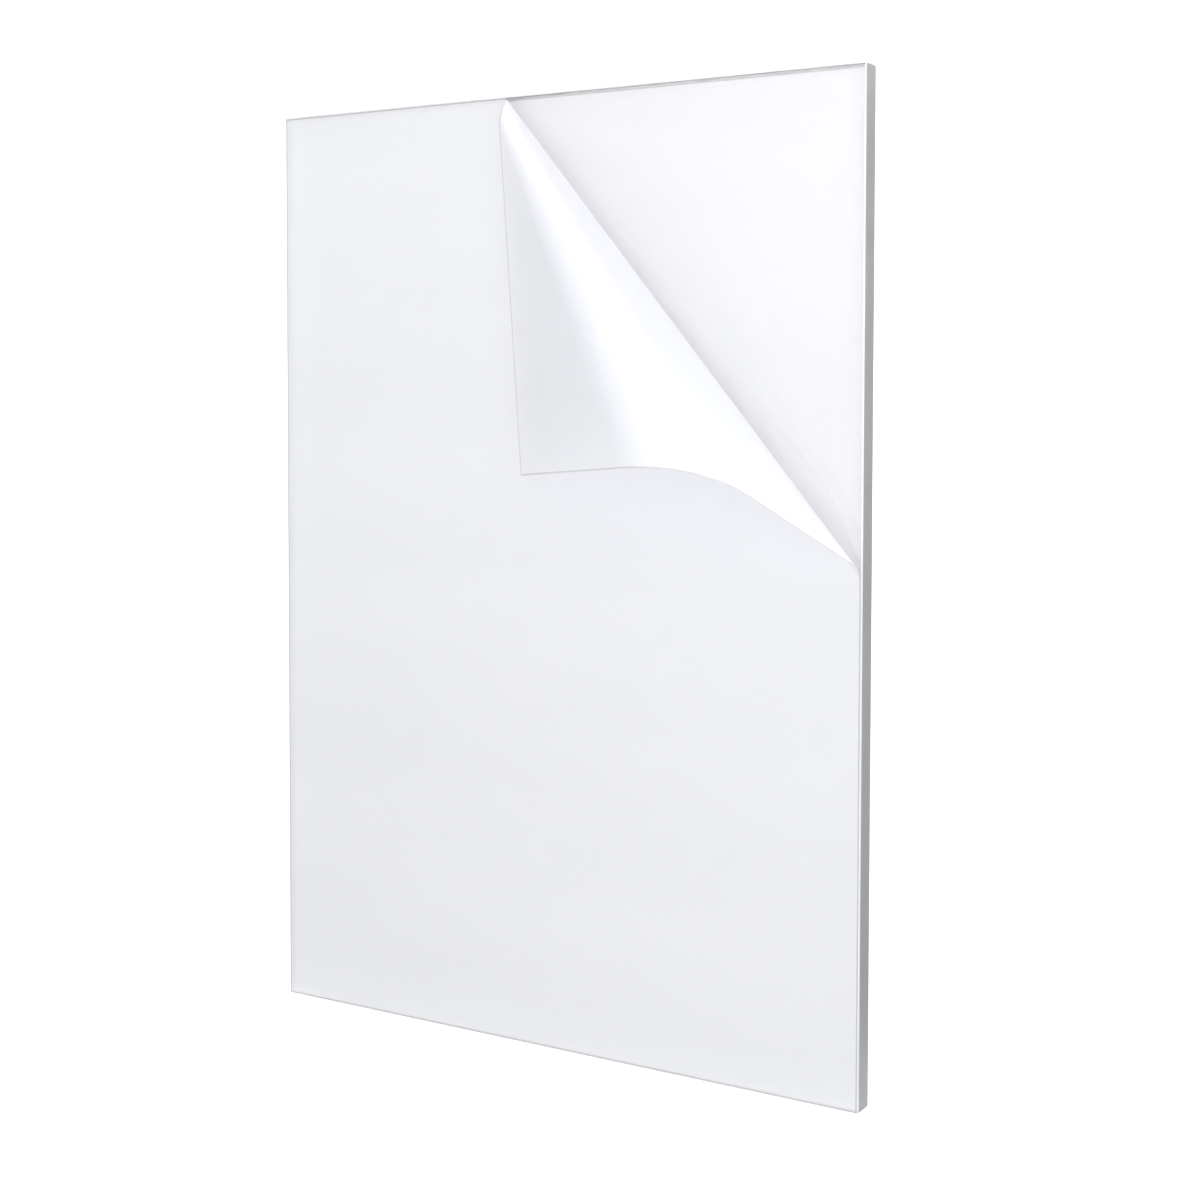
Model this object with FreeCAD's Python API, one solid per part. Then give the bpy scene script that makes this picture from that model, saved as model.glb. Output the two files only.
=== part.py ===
import FreeCAD, Part
import math
import os

# A cut panel of clear acrylic, lying flat, with a masking film on both faces.
# The film on the upper face is peeled back from one corner and stands up in a
# conical curl. Lengths are in millimetres and angles in degrees.
# +Z is up, X runs across the panel and Y along it. The origin is at the
# middle of the underside, and the peeled corner is the one at +X, +Y.

# Panel
PANEL_WIDTH = 297.0
PANEL_LENGTH = 420.0
PANEL_THICKNESS = 10.0
ARRIS = 0.5

# Masking films, which stop where the arris starts
FILM_THICKNESS = 0.1

# Peel: how far the film has come away along the +Y end and along the +X side
PEEL_ALONG_END = 170.5
PEEL_ALONG_SIDE = 204.5

# Curl: every straight line in the lifted film points at one apex, which lies
# on the peel line carried on past the +Y end
APEX_OVERRUN = 24.5
FOLD_CONE = 0.6
FOLD_TURN = 97.0
STANDING_SPREAD = 8.0
BEND_CONE = 6.8
CORNER_LIFT = 10.0

# Fineness of the curl's edge curves, and of the search for the bend's turn
SPANS_PER_CONE = 8
SEARCH_STEPS = 50

# Levels and edges that follow from the sizes
PANEL_BOTTOM = FILM_THICKNESS
PANEL_TOP = PANEL_BOTTOM + PANEL_THICKNESS
FILM_SIDE = PANEL_WIDTH / 2 - ARRIS
FILM_END = PANEL_LENGTH / 2 - ARRIS
UP = FreeCAD.Vector(0, 0, 1)


class Ruling:
    """A straight line of the lifted film, from the apex outward.

    pattern is its angle from the peel line while the film was flat. along,
    across and normal are unit vectors where it lies now: along the line,
    towards the peeled corner, and out of the film's outer side.
    """

    def __init__(self, pattern, along, across, normal):
        self.pattern = pattern
        self.along = along
        self.across = across
        self.normal = normal

    def turned(self, axis, angle, pattern_step):
        rotation = FreeCAD.Rotation(axis, angle)
        return Ruling(
            self.pattern + pattern_step,
            rotation.multVec(self.along),
            rotation.multVec(self.across),
            rotation.multVec(self.normal),
        )


class Peel:
    """The flat pattern of the lifted corner: peel line, apex and free corner."""

    def __init__(self):
        self.corner = FreeCAD.Vector(FILM_SIDE, FILM_END, PANEL_TOP)
        self.at_end = self.corner - FreeCAD.Vector(PEEL_ALONG_END, 0, 0)
        self.at_side = self.corner - FreeCAD.Vector(0, PEEL_ALONG_SIDE, 0)
        along = (self.at_side - self.at_end).normalize()
        self.apex = self.at_end - along * APEX_OVERRUN
        self.line = Ruling(0.0, along, UP.cross(along), UP)
        self.heading = math.degrees(math.atan2(along.y, along.x))
        reach = self.corner - self.apex
        self.corner_pattern = math.degrees(math.atan2(reach.y, reach.x)) - self.heading

    def to_end(self, ruling):
        """Distance from the apex to the film's +Y edge, and its change per radian."""
        angle = math.radians(self.heading + ruling.pattern)
        distance = (FILM_END - self.apex.y) / math.sin(angle)
        return distance, -distance / math.tan(angle)

    def to_side(self, ruling):
        """Distance from the apex to the film's +X edge, and its change per radian."""
        angle = math.radians(self.heading + ruling.pattern)
        distance = (FILM_SIDE - self.apex.x) / math.cos(angle)
        return distance, distance * math.tan(angle)

    def point(self, ruling, distance, height):
        """A point of the lifted film, at a height above its adhesive side."""
        return self.apex + ruling.along * distance + ruling.normal * height


class Stretch:
    """Neighbouring rulings with one curvature per radian of the pattern."""

    def __init__(self, rulings, curvature):
        self.rulings = rulings
        self.curvature = curvature
        self.last = rulings[-1]

    def edge(self, peel, reach, height):
        """The cut edge that reach measures to, at a height over the adhesive side."""
        points = []
        tangents = []
        for ruling in self.rulings:
            distance, rate = reach(ruling)
            points.append(peel.point(ruling, distance, height))
            sweep = distance - self.curvature * height
            tangents.append(ruling.along * rate + ruling.across * sweep)
        if self.curvature == 0:
            return Part.makeLine(points[0], points[-1])
        curve = Part.BSplineCurve()
        curve.interpolate(
            Points=points,
            Parameters=[math.radians(ruling.pattern) for ruling in self.rulings],
            InitialTangent=tangents[0],
            FinalTangent=tangents[-1],
            Scale=False,
        )
        return curve.toShape()

    def faces(self, peel):
        """Both skins and both cut edges."""
        end_low = self.edge(peel, peel.to_end, 0.0)
        end_high = self.edge(peel, peel.to_end, FILM_THICKNESS)
        side_low = self.edge(peel, peel.to_side, 0.0)
        side_high = self.edge(peel, peel.to_side, FILM_THICKNESS)
        pairs = [(end_low, side_low), (end_high, side_high), (end_low, end_high), (side_low, side_high)]
        return [Part.makeRuledSurface(first, second) for first, second in pairs]


def cone_stretch(start, half_angle, turn):
    """A stretch rolled round a right circular cone."""
    slope = math.radians(half_angle)
    axis = start.along * math.cos(slope) + start.normal * math.sin(slope)
    rulings = []
    for step in range(SPANS_PER_CONE + 1):
        angle = turn * step / SPANS_PER_CONE
        rulings.append(start.turned(axis, angle, angle * math.sin(slope)))
    return Stretch(rulings, 1 / math.tan(slope))


def flat_stretch(start, spread):
    """A stretch that stays flat."""
    return Stretch([start, start.turned(start.normal, spread, spread)], 0.0)


def free_corner(peel, last):
    """The film's corner, on the adhesive side, when the film is flat past last."""
    ruling = last.turned(last.normal, peel.corner_pattern - last.pattern, 0.0)
    return peel.point(ruling, (peel.corner - peel.apex).Length, 0.0)


def bend_turn(peel, start):
    """Turn of the second cone that brings the free corner down to CORNER_LIFT."""
    low = 0.0
    high = 180.0
    for _ in range(SEARCH_STEPS):
        middle = (low + high) / 2
        last = cone_stretch(start, BEND_CONE, middle).last
        if free_corner(peel, last).z - PANEL_TOP > CORNER_LIFT:
            low = middle
        else:
            high = middle
    return (low + high) / 2


def curl_stretches(peel):
    """The lifted film: tight fold, standing face and bend over the top."""
    fold = cone_stretch(peel.line, FOLD_CONE, FOLD_TURN)
    standing = flat_stretch(fold.last, STANDING_SPREAD)
    bend = cone_stretch(standing.last, BEND_CONE, bend_turn(peel, standing.last))
    return [fold, standing, bend]


def plate_faces(outline, lift, open_side):
    """Faces of a flat piece of film, but for the side that joins the next piece."""
    count = len(outline)
    raised = [point + lift for point in outline]
    faces = []
    for ring in (outline, raised):
        faces.append(Part.Face(Part.makePolygon(ring + ring[:1])))
    for index in range(count):
        if index == open_side:
            continue
        after = (index + 1) % count
        ring = [outline[index], outline[after], raised[after], raised[index]]
        faces.append(Part.Face(Part.makePolygon(ring + ring[:1])))
    return faces


def make_front_film():
    peel = Peel()
    stuck = [
        peel.at_side,
        peel.at_end,
        FreeCAD.Vector(-FILM_SIDE, FILM_END, PANEL_TOP),
        FreeCAD.Vector(-FILM_SIDE, -FILM_END, PANEL_TOP),
        FreeCAD.Vector(FILM_SIDE, -FILM_END, PANEL_TOP),
    ]
    faces = plate_faces(stuck, UP * FILM_THICKNESS, 0)
    stretches = curl_stretches(peel)
    for stretch in stretches:
        faces += stretch.faces(peel)
    last = stretches[-1].last
    flap = [
        peel.point(last, peel.to_end(last)[0], 0.0),
        peel.point(last, peel.to_side(last)[0], 0.0),
        free_corner(peel, last),
    ]
    faces += plate_faces(flap, last.normal * FILM_THICKNESS, 0)
    shell = Part.makeShell(faces)
    shell.sewShape()
    return Part.makeSolid(shell)


def make_acrylic_sheet():
    corner = FreeCAD.Vector(-PANEL_WIDTH / 2, -PANEL_LENGTH / 2, PANEL_BOTTOM)
    panel = Part.makeBox(PANEL_WIDTH, PANEL_LENGTH, PANEL_THICKNESS, corner)
    return panel.makeChamfer(ARRIS, panel.Edges)


def make_back_film():
    corner = FreeCAD.Vector(-FILM_SIDE, -FILM_END, 0.0)
    return Part.makeBox(2 * FILM_SIDE, 2 * FILM_END, FILM_THICKNESS, corner)


os.makedirs("parts", exist_ok=True)
make_acrylic_sheet().exportStep("parts/acrylic_sheet.step")
make_front_film().exportStep("parts/front_film.step")
make_back_film().exportStep("parts/back_film.step")
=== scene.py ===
import math

import bmesh
import bpy
from mathutils import Matrix, Vector


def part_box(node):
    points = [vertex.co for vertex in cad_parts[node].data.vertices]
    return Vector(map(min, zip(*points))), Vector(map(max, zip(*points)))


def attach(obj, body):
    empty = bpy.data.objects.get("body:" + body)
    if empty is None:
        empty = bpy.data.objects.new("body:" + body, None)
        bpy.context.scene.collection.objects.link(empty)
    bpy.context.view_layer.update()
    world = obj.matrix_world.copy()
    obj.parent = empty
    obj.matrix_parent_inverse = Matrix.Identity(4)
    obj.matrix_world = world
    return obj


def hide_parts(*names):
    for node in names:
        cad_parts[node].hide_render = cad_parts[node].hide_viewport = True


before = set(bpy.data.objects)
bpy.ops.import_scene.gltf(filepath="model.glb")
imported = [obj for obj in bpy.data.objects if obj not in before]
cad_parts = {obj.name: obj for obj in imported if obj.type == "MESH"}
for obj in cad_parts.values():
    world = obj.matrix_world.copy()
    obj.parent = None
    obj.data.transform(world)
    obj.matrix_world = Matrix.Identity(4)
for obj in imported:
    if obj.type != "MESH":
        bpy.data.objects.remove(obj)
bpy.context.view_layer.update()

# All lengths are in metres, in the frame's axes: X across, Y along, Z up.

# Panel and films, from the frame, and the gap that keeps a film's inner side off the panel
PANEL_LOW, PANEL_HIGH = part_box("acrylic_sheet")
FILM_LOW, FILM_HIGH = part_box("front_film")
BACK_LOW, BACK_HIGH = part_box("back_film")
ARRIS = PANEL_HIGH.x - FILM_HIGH.x
FILM_THICKNESS = BACK_HIGH.z - BACK_LOW.z
FILM_GAP = 0.00002

# Peeled corner, as in the solid, and the steps of the search for its bend's turn
PEEL_ALONG_END = 0.1705
PEEL_ALONG_SIDE = 0.2045
APEX_OVERRUN = 0.0245
FOLD_CONE = math.radians(0.6)
FOLD_TURN = math.radians(97.0)
STANDING_SPREAD = math.radians(8.0)
BEND_CONE = math.radians(6.8)
CORNER_LIFT = 0.010
SEARCH_STEPS = 50

# Fineness of the lifted film's mesh: straight lines in each stretch, and steps along them
RULINGS_FOLD = 28
RULINGS_STANDING = 10
RULINGS_BEND = 28
RULINGS_FLAP = 34
STEPS_ALONG = 64

# Edges sharper than these stay hard when a mesh is shaded smooth
FILM_SHARP = math.radians(40)
PANEL_SHARP = math.radians(20)

# The panel's material slots after the first, which is for its polished faces
SAWN = 1
SCRAPED = 2

# Camera, at the photograph's angle to the panel
CAMERA_PLACE = Vector((0.4447, 0.0774, 0.6984))
CAMERA_YAW = math.radians(31.278)
CAMERA_PITCH = math.radians(-2.478)
CAMERA_ROLL = math.radians(0.103)
CAMERA_LENS = 56.25
CAMERA_SHIFT = -0.1
SENSOR_WIDTH = 36.0

# Film's tone, its faint diagonal streaks of painted sheen, and a grey line of painted shade along
# its cut edges
FILM_DARK = (0.650, 0.655, 0.682)
FILM_LIGHT = (0.700, 0.705, 0.732)
FILM_EDGE_SHADE = (0.46, 0.465, 0.475)
EDGE_SHADE_WIDTH = 0.0007
SHEEN_STREAK_ANGLE = math.radians(38.0)
SHEEN_STREAK_SCALE = (3.0, 22.0, 1.0)

# Acrylic's clear tint and the haze of its polished faces
ACRYLIC_TINT = (0.987, 0.985, 0.990, 1)
ACRYLIC_IOR = 1.491
ACRYLIC_HAZE = (0.07, 0.09)
ACRYLIC_RIPPLE = 0.00002

# Edge finishes: dark and light tone, and the share of light let through; the sawn edges' dark grey
# is partly frosted finish, partly painted shade
SAWN_EDGE_AND_SHADE = ((0.28, 0.29, 0.285), (0.34, 0.35, 0.345), 0.65)
SCRAPED_ARRIS = ((0.6, 0.62, 0.62), (0.8, 0.81, 0.81), 0.5)
SAW_LINES = (6, 6, 1400)
SAW_LINE_DEPTH = 0.00004
SAWN_ROUGHNESS = (0.38, 0.55)

# Film's gloss and how much it hides
FILM_ROUGHNESS = 0.32
FILM_COVER = 0.42

# Floor, a hair under the panel
FLOOR_REACH = 40.0
FLOOR_LEVEL = -0.0003
FLOOR_DARK = (0.95, 0.95, 0.95)
FLOOR_LIGHT = (0.97, 0.97, 0.97)

# Studio light. The world is brightest towards BRIGHT_SIDE, from WORLD_LOW to WORLD_HIGH.
# Heights are the Z of a direction: the ceiling's glow falls to the LOW_SKY share of
# itself from the higher to the lower, and the wall fades out from the lower to the higher.
BRIGHT_SIDE = (0.4, -0.6, 0.7)
WORLD_LOW = 0.375
WORLD_HIGH = 2.33
CEILING_HEIGHT = (0.15, 0.55)
LOW_SKY = 0.1
WALL_LIGHT = 1.02
WALL_HEIGHT = (0.18, 0.34)
TOP_LIGHT_PLACE = (0.15, 0.55, 0.8)
TOP_LIGHT_SIZE = 0.5
TOP_LIGHT_POWER = 2.1
SIDE_LIGHT_PLACE = (1.2, 1.4, 0.30)
SIDE_LIGHT_SIZE = 0.4
SIDE_LIGHT_POWER = 18.6


def add_object(name, mesh):
    obj = bpy.data.objects.new(name, mesh)
    bpy.context.scene.collection.objects.link(obj)
    return obj


def box_bmesh(low, high):
    bm = bmesh.new()
    bmesh.ops.create_cube(bm, size=1.0)
    size = high - low
    middle = (high + low) / 2
    for vert in bm.verts:
        vert.co = Vector(a * b for a, b in zip(vert.co, size)) + middle
    return bm


def finish_mesh(bm, name, sharp_angle):
    """Turns a bmesh into a mesh with smooth faces and sharp edges."""
    bmesh.ops.recalc_face_normals(bm, faces=bm.faces)
    for face in bm.faces:
        face.smooth = True
    for edge in bm.edges:
        edge.smooth = edge.calc_face_angle(0.0) < sharp_angle
    mesh = bpy.data.meshes.new(name)
    bm.to_mesh(mesh)
    bm.free()
    return mesh


# Lifted film


class Ruling:
    """A straight line of the lifted film, from the apex outward.

    pattern is its angle from the peel line while the film was flat.
    """

    def __init__(self, pattern, along, across, normal):
        self.pattern = pattern
        self.along = along
        self.across = across
        self.normal = normal

    def turned(self, axis, angle, pattern_step):
        turn = Matrix.Rotation(angle, 3, axis)
        return Ruling(
            self.pattern + pattern_step,
            turn @ self.along,
            turn @ self.across,
            turn @ self.normal,
        )

    def rolled(self, half_angle, turn):
        """The ruling after a turn round a cone of that half angle."""
        axis = self.along * math.cos(half_angle) + self.normal * math.sin(half_angle)
        return self.turned(axis, turn, turn * math.sin(half_angle))

    def spread(self, angle):
        """The ruling after a flat stretch."""
        return self.turned(self.normal, angle, angle)


class Peel:
    """The lifted corner of the front film, worked out as in the solid."""

    def __init__(self):
        level = PANEL_HIGH.z
        self.corner = Vector((FILM_HIGH.x, FILM_HIGH.y, level))
        self.at_end = self.corner - Vector((PEEL_ALONG_END, 0, 0))
        self.at_side = self.corner - Vector((0, PEEL_ALONG_SIDE, 0))
        along = (self.at_side - self.at_end).normalized()
        self.apex = self.at_end - along * APEX_OVERRUN
        up = Vector((0, 0, 1))
        self.line = Ruling(0.0, along, up.cross(along), up)
        self.heading = math.atan2(along.y, along.x)
        reach = self.corner - self.apex
        self.corner_reach = reach.length
        self.corner_pattern = math.atan2(reach.y, reach.x) - self.heading
        self.fold_end = self.line.rolled(FOLD_CONE, FOLD_TURN)
        self.standing_end = self.fold_end.spread(STANDING_SPREAD)
        self.bend_turn = self.find_bend_turn()
        self.bend_end = self.standing_end.rolled(BEND_CONE, self.bend_turn)

    def find_bend_turn(self):
        low, high = 0.0, math.pi
        for _ in range(SEARCH_STEPS):
            middle = (low + high) / 2
            last = self.standing_end.rolled(BEND_CONE, middle)
            tip = last.spread(self.corner_pattern - last.pattern)
            if tip.along.z * self.corner_reach > CORNER_LIFT:
                low = middle
            else:
                high = middle
        return (low + high) / 2

    def ruling(self, pattern):
        """The ruling at a pattern angle."""
        if pattern <= self.fold_end.pattern:
            return self.line.rolled(FOLD_CONE, pattern / math.sin(FOLD_CONE))
        if pattern <= self.standing_end.pattern:
            return self.fold_end.spread(pattern - self.fold_end.pattern)
        if pattern <= self.bend_end.pattern:
            rest = pattern - self.standing_end.pattern
            return self.standing_end.rolled(BEND_CONE, rest / math.sin(BEND_CONE))
        return self.bend_end.spread(pattern - self.bend_end.pattern)

    def reaches(self, pattern):
        """Distances from the apex to the film's +Y edge and to its +X edge."""
        angle = self.heading + pattern
        to_end = (FILM_HIGH.y - self.apex.y) / math.sin(angle)
        to_side = (FILM_HIGH.x - self.apex.x) / math.cos(angle)
        return to_end, to_side


def pattern_angles(peel):
    """Pattern angles of the mesh's rulings, from the peel line to the corner."""
    stops = [
        (peel.fold_end.pattern, RULINGS_FOLD),
        (peel.standing_end.pattern, RULINGS_STANDING),
        (peel.bend_end.pattern, RULINGS_BEND),
        (peel.corner_pattern, RULINGS_FLAP),
    ]
    angles = [0.0]
    for stop, count in stops:
        start = angles[-1]
        angles += [start + (stop - start) * step / count for step in range(1, count + 1)]
    return angles


def film_grid(peel):
    """Rows of (place, normal, flat place) for the lifted film, one row a ruling."""
    rows = []
    for pattern in pattern_angles(peel):
        ruling = peel.ruling(pattern)
        to_end, to_side = peel.reaches(pattern)
        angle = peel.heading + pattern
        flat_along = Vector((math.cos(angle), math.sin(angle), 0))
        row = []
        for step in range(STEPS_ALONG + 1):
            distance = to_end + (to_side - to_end) * step / STEPS_ALONG
            place = peel.apex + ruling.along * distance
            flat = peel.apex + flat_along * distance
            row.append((place, ruling.normal, flat))
        rows.append(row)
    return rows


def make_front_film():
    peel = Peel()
    rows = film_grid(peel)
    bm = bmesh.new()
    uv = bm.loops.layers.uv.new("flat_place")
    level = PANEL_HIGH.z
    flat_of = {}

    def add(place, normal, flat, height):
        vert = bm.verts.new(place + normal * height)
        flat_of[vert] = flat
        return vert

    up = Vector((0, 0, 1))
    skins = []
    for height in (FILM_GAP, FILM_THICKNESS):
        grid = []
        for row in rows[:-1]:
            grid.append([add(place, normal, flat, height) for place, normal, flat in row])
        place, normal, flat = rows[-1][0]
        tip = add(place, normal, flat, height)
        far = [
            Vector((FILM_HIGH.x, FILM_LOW.y, level)),
            Vector((FILM_LOW.x, FILM_LOW.y, level)),
            Vector((FILM_LOW.x, FILM_HIGH.y, level)),
        ]
        far = [add(place, up, place, height) for place in far]
        skins.append((grid, tip, far))

    def skin_faces(grid, tip, far, flip):
        faces = []
        for first, second in zip(grid, grid[1:]):
            for step in range(STEPS_ALONG):
                faces.append([first[step], first[step + 1], second[step + 1], second[step]])
        for step in range(STEPS_ALONG):
            faces.append([grid[-1][step], grid[-1][step + 1], tip])
        faces.append(list(reversed(grid[0])) + list(reversed(far)))
        for face in faces:
            bm.faces.new(reversed(face) if flip else face)

    skin_faces(*skins[0], True)
    skin_faces(*skins[1], False)
    rims = []
    for grid, tip, far in skins:
        side = [row[-1] for row in grid]
        end = [row[0] for row in grid]
        rims.append([far[2]] + end + [tip] + side[::-1] + far[:2])
    low, high = rims
    for index in range(len(low)):
        after = (index + 1) % len(low)
        bm.faces.new([low[index], low[after], high[after], high[index]])
    for face in bm.faces:
        for loop in face.loops:
            flat = flat_of[loop.vert]
            loop[uv].uv = (flat.x, flat.y)
    mesh = finish_mesh(bm, "front_film_skin", FILM_SHARP)
    return add_object("front_film_sheet", mesh)


def make_back_film():
    high = Vector((BACK_HIGH.x, BACK_HIGH.y, PANEL_LOW.z - FILM_GAP))
    bm = box_bmesh(BACK_LOW, high)
    uv = bm.loops.layers.uv.new("flat_place")
    for face in bm.faces:
        for loop in face.loops:
            loop[uv].uv = (loop.vert.co.x, loop.vert.co.y)
    mesh = finish_mesh(bm, "back_film_skin", FILM_SHARP)
    return add_object("back_film_sheet", mesh)


def make_panel():
    bm = box_bmesh(PANEL_LOW, PANEL_HIGH)
    bmesh.ops.bevel(
        bm, geom=list(bm.edges), offset=ARRIS, offset_type="OFFSET", segments=1, profile=0.5,
        affect="EDGES",
    )
    bmesh.ops.recalc_face_normals(bm, faces=bm.faces)
    for face in bm.faces:
        slanted = max(abs(component) for component in face.normal) < 0.9
        upright = abs(face.normal.z) < 0.1
        if slanted:
            face.material_index = SCRAPED
        elif upright:
            face.material_index = SAWN
    mesh = finish_mesh(bm, "acrylic_panel_body", PANEL_SHARP)
    return add_object("acrylic_panel", mesh)


# Materials


class Nodes:
    """Short calls for building one material's node tree."""

    def __init__(self, name):
        self.material = bpy.data.materials.new(name)
        self.material.use_nodes = True
        self.tree = self.material.node_tree
        self.tree.nodes.clear()
        self.output = self.add("ShaderNodeOutputMaterial")

    def add(self, kind, **settings):
        node = self.tree.nodes.new(kind)
        for name, value in settings.items():
            setattr(node, name, value)
        return node

    def link(self, source, target):
        self.tree.links.new(source, target)

    def principled(self, **values):
        node = self.add("ShaderNodeBsdfPrincipled")
        for name, value in values.items():
            node.inputs[name.replace("_", " ")].default_value = value
        return node

    def stretched(self, coordinates, scale):
        node = self.add("ShaderNodeMapping")
        node.inputs["Scale"].default_value = scale
        self.link(coordinates, node.inputs["Vector"])
        return node.outputs["Vector"]

    def noise(self, vector, scale, detail=3.0, roughness=0.5):
        node = self.add("ShaderNodeTexNoise")
        node.inputs["Scale"].default_value = scale
        node.inputs["Detail"].default_value = detail
        node.inputs["Roughness"].default_value = roughness
        self.link(vector, node.inputs["Vector"])
        return node.outputs["Fac"]

    def ramp(self, value, low, high):
        """Maps 0.3 to 0.7 of a noise onto low to high."""
        node = self.add("ShaderNodeMapRange")
        node.inputs["From Min"].default_value = 0.3
        node.inputs["From Max"].default_value = 0.7
        node.inputs["To Min"].default_value = low
        node.inputs["To Max"].default_value = high
        self.link(value, node.inputs["Value"])
        return node.outputs["Result"]

    def between(self, factor, first, second):
        node = self.add("ShaderNodeMix", data_type="RGBA")
        self.link(factor, node.inputs["Factor"])
        node.inputs["A"].default_value = (*first, 1)
        node.inputs["B"].default_value = (*second, 1)
        return node.outputs["Result"]

    def computed(self, operation, first, second=0.0):
        """A sum on one or two values, each a number or another node's output."""
        node = self.add("ShaderNodeMath", operation=operation)
        for socket, value in zip(node.inputs, (first, second)):
            if isinstance(value, float):
                socket.default_value = value
            else:
                self.link(value, socket)
        return node.outputs["Value"]

    def bump(self, height, distance):
        node = self.add("ShaderNodeBump")
        node.inputs["Distance"].default_value = distance
        node.inputs["Strength"].default_value = 1.0
        self.link(height, node.inputs["Height"])
        return node.outputs["Normal"]


def acrylic_material():
    nodes = Nodes("clear_acrylic")
    place = nodes.add("ShaderNodeTexCoord").outputs["Object"]
    shader = nodes.principled(Base_Color=ACRYLIC_TINT, IOR=ACRYLIC_IOR, Transmission_Weight=1.0)
    haze = nodes.noise(place, 18.0, 4.0)
    nodes.link(nodes.ramp(haze, *ACRYLIC_HAZE), shader.inputs["Roughness"])
    ripple = nodes.noise(place, 9.0, 2.0)
    nodes.link(nodes.bump(ripple, ACRYLIC_RIPPLE), shader.inputs["Normal"])
    nodes.link(shader.outputs[0], nodes.output.inputs["Surface"])
    return nodes.material


def sawn_material(name, dark, light, transmission):
    nodes = Nodes(name)
    place = nodes.add("ShaderNodeTexCoord").outputs["Object"]
    lines = nodes.noise(nodes.stretched(place, SAW_LINES), 1.0, 4.0, 0.6)
    blotches = nodes.noise(place, 60.0, 3.0)
    shader = nodes.principled(IOR=ACRYLIC_IOR, Transmission_Weight=transmission)
    nodes.link(nodes.between(lines, dark, light), shader.inputs["Base Color"])
    nodes.link(nodes.ramp(blotches, *SAWN_ROUGHNESS), shader.inputs["Roughness"])
    nodes.link(nodes.bump(lines, SAW_LINE_DEPTH), shader.inputs["Normal"])
    nodes.link(shader.outputs[0], nodes.output.inputs["Surface"])
    return nodes.material


def film_material():
    nodes = Nodes("masking_film")
    flat = nodes.add("ShaderNodeUVMap", uv_map="flat_place").outputs["UV"]
    turned = nodes.add("ShaderNodeMapping")
    turned.inputs["Rotation"].default_value = (0, 0, SHEEN_STREAK_ANGLE)
    turned.inputs["Scale"].default_value = SHEEN_STREAK_SCALE
    nodes.link(flat, turned.inputs["Vector"])
    # Diagonal streaks of painted sheen, blended into the film's tone
    sheen_streaks = nodes.noise(turned.outputs["Vector"], 1.0, 3.0, 0.45)
    axes = nodes.add("ShaderNodeSeparateXYZ")
    nodes.link(flat, axes.inputs["Vector"])
    # Painted shade: a thin grey line along the film's cut edges, where shadow falls at the edge
    from_middle_x = nodes.computed("ABSOLUTE", axes.outputs["X"])
    from_middle_y = nodes.computed("ABSOLUTE", axes.outputs["Y"])
    over_side = nodes.computed("SUBTRACT", from_middle_x, FILM_HIGH.x - EDGE_SHADE_WIDTH)
    over_end = nodes.computed("SUBTRACT", from_middle_y, FILM_HIGH.y - EDGE_SHADE_WIDTH)
    in_edge_shade = nodes.computed("GREATER_THAN", nodes.computed("MAXIMUM", over_side, over_end), 0.0)
    tone = nodes.add("ShaderNodeMix", data_type="RGBA")
    nodes.link(in_edge_shade, tone.inputs["Factor"])
    nodes.link(nodes.between(sheen_streaks, FILM_DARK, FILM_LIGHT), tone.inputs["A"])
    tone.inputs["B"].default_value = (*FILM_EDGE_SHADE, 1)
    film = nodes.principled(Roughness=FILM_ROUGHNESS, Alpha=FILM_COVER)
    nodes.link(tone.outputs["Result"], film.inputs["Base Color"])
    nodes.link(film.outputs[0], nodes.output.inputs["Surface"])
    return nodes.material


def floor_material():
    nodes = Nodes("pale_floor")
    place = nodes.add("ShaderNodeTexCoord").outputs["Object"]
    shader = nodes.principled(Roughness=0.7)
    grain = nodes.noise(place, 30.0, 4.0)
    nodes.link(nodes.between(grain, FLOOR_DARK, FLOOR_LIGHT), shader.inputs["Base Color"])
    nodes.link(shader.outputs[0], nodes.output.inputs["Surface"])
    return nodes.material


# Studio


def make_floor():
    mesh = bpy.data.meshes.new("floor")
    ends = [(-1, -1), (1, -1), (1, 1), (-1, 1)]
    corners = [(x * FLOOR_REACH, y * FLOOR_REACH, FLOOR_LEVEL) for x, y in ends]
    mesh.from_pydata(corners, [], [(0, 1, 2, 3)])
    floor = add_object("floor", mesh)
    floor.data.materials.append(floor_material())


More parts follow.
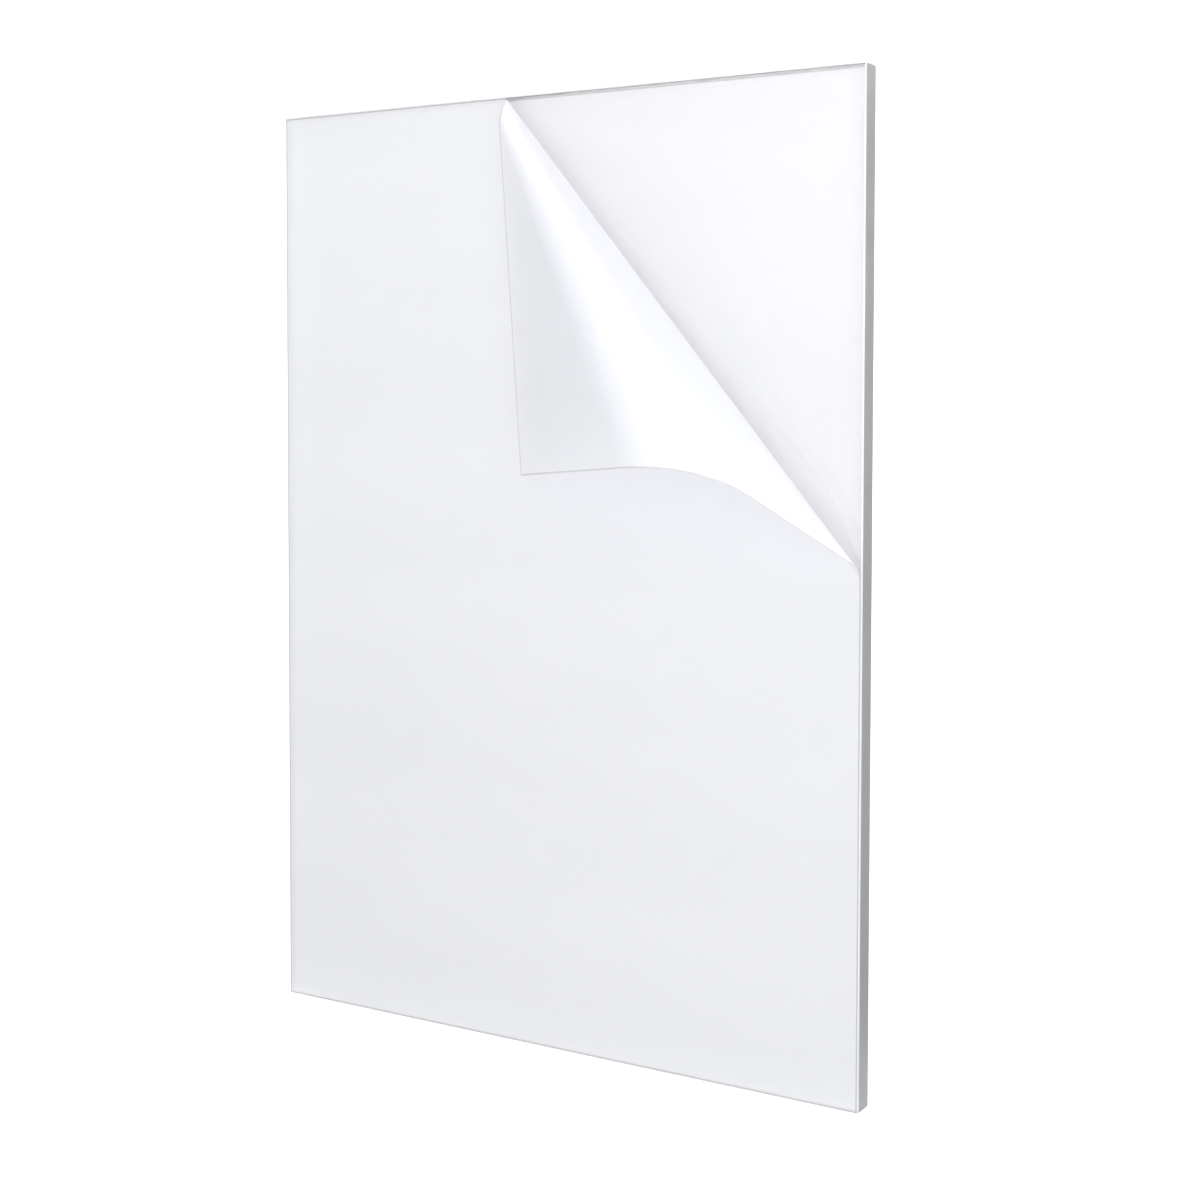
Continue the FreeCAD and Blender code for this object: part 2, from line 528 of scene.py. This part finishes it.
def make_world():
    """A pale studio, brighter high up towards one side, with a white wall all round."""
    world = bpy.data.worlds.new("studio")
    bpy.context.scene.world = world
    world.use_nodes = True
    tree = world.node_tree
    place = tree.nodes.new("ShaderNodeTexCoord").outputs["Generated"]

    def graded(value, low, high, at_low, at_high):
        node = tree.nodes.new("ShaderNodeMapRange")
        node.interpolation_type = "SMOOTHSTEP"
        node.inputs["From Min"].default_value = low
        node.inputs["From Max"].default_value = high
        node.inputs["To Min"].default_value = at_low
        node.inputs["To Max"].default_value = at_high
        tree.links.new(value, node.inputs["Value"])
        return node.outputs["Result"]

    def combined(operation, first, second):
        node = tree.nodes.new("ShaderNodeMath")
        node.operation = operation
        tree.links.new(first, node.inputs[0])
        tree.links.new(second, node.inputs[1])
        return node.outputs["Value"]

    side = tree.nodes.new("ShaderNodeVectorMath")
    side.operation = "DOT_PRODUCT"
    side.inputs[1].default_value = Vector(BRIGHT_SIDE).normalized()
    tree.links.new(place, side.inputs[0])
    axes = tree.nodes.new("ShaderNodeSeparateXYZ")
    tree.links.new(place, axes.inputs["Vector"])
    height = axes.outputs["Z"]
    towards_side = graded(side.outputs["Value"], 0.0, 1.0, 0.0, 1.0)
    overhead = graded(height, *CEILING_HEIGHT, LOW_SKY, 1.0)
    ceiling = graded(combined("MULTIPLY", towards_side, overhead), 0.0, 1.0, WORLD_LOW, WORLD_HIGH)
    wall = graded(height, *WALL_HEIGHT, WALL_LIGHT, 0.0)
    background = tree.nodes["Background"]
    background.inputs["Color"].default_value = (1, 1, 1, 1)
    tree.links.new(combined("MAXIMUM", ceiling, wall), background.inputs["Strength"])


def make_softbox(name, place, size, power):
    """A round lamp that faces the panel and throws no shadow of its own."""
    light = bpy.data.lights.new(name, "AREA")
    light.shape = "DISK"
    light.size = size
    light.energy = power
    light.use_shadow = False
    obj = bpy.data.objects.new(name, light)
    obj.visible_camera = False
    obj.visible_transmission = False
    obj.location = place
    obj.rotation_euler = (-Vector(place)).to_track_quat("-Z", "Y").to_euler()
    bpy.context.scene.collection.objects.link(obj)


def make_camera():
    data = bpy.data.cameras.new("camera")
    data.sensor_width = SENSOR_WIDTH
    data.lens = CAMERA_LENS
    data.shift_y = CAMERA_SHIFT
    data.clip_start = 0.01
    data.clip_end = 50.0
    camera = bpy.data.objects.new("camera", data)
    bpy.context.scene.collection.objects.link(camera)
    turn = (
        Matrix.Rotation(CAMERA_YAW, 4, "Y")
        @ Matrix.Rotation(CAMERA_PITCH, 4, "X")
        @ Matrix.Rotation(CAMERA_ROLL, 4, "Z")
    )
    camera.matrix_world = Matrix.Translation(CAMERA_PLACE) @ turn
    bpy.context.scene.camera = camera


make_camera()
make_floor()
make_world()
make_softbox("top_light", TOP_LIGHT_PLACE, TOP_LIGHT_SIZE, TOP_LIGHT_POWER)
make_softbox("side_light", SIDE_LIGHT_PLACE, SIDE_LIGHT_SIZE, SIDE_LIGHT_POWER)

bpy.context.scene.view_settings.view_transform = "Standard"

# Enough bounces for light that passes the panel and both films
cycles = bpy.context.scene.cycles
cycles.transparent_max_bounces = 32
cycles.max_bounces = 24
cycles.transmission_bounces = 16
cycles.diffuse_bounces = 6
cycles.glossy_bounces = 8
cycles.use_light_tree = False

panel = make_panel()
front_film = make_front_film()
back_film = make_back_film()

panel.data.materials.append(acrylic_material())
# The sawn edges' dark grey is partly their frosted finish and partly painted shade
panel.data.materials.append(sawn_material("sawn_edge_and_shade", *SAWN_EDGE_AND_SHADE))
panel.data.materials.append(sawn_material("scraped_arris", *SCRAPED_ARRIS))
film = film_material()
front_film.data.materials.append(film)
back_film.data.materials.append(film)

for piece, node, slot in (
    (panel, "acrylic_sheet", "clear_acrylic"),
    (front_film, "front_film", "masking_film"),
    (back_film, "back_film", "masking_film"),
):
    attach(piece, "root")
    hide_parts(node)
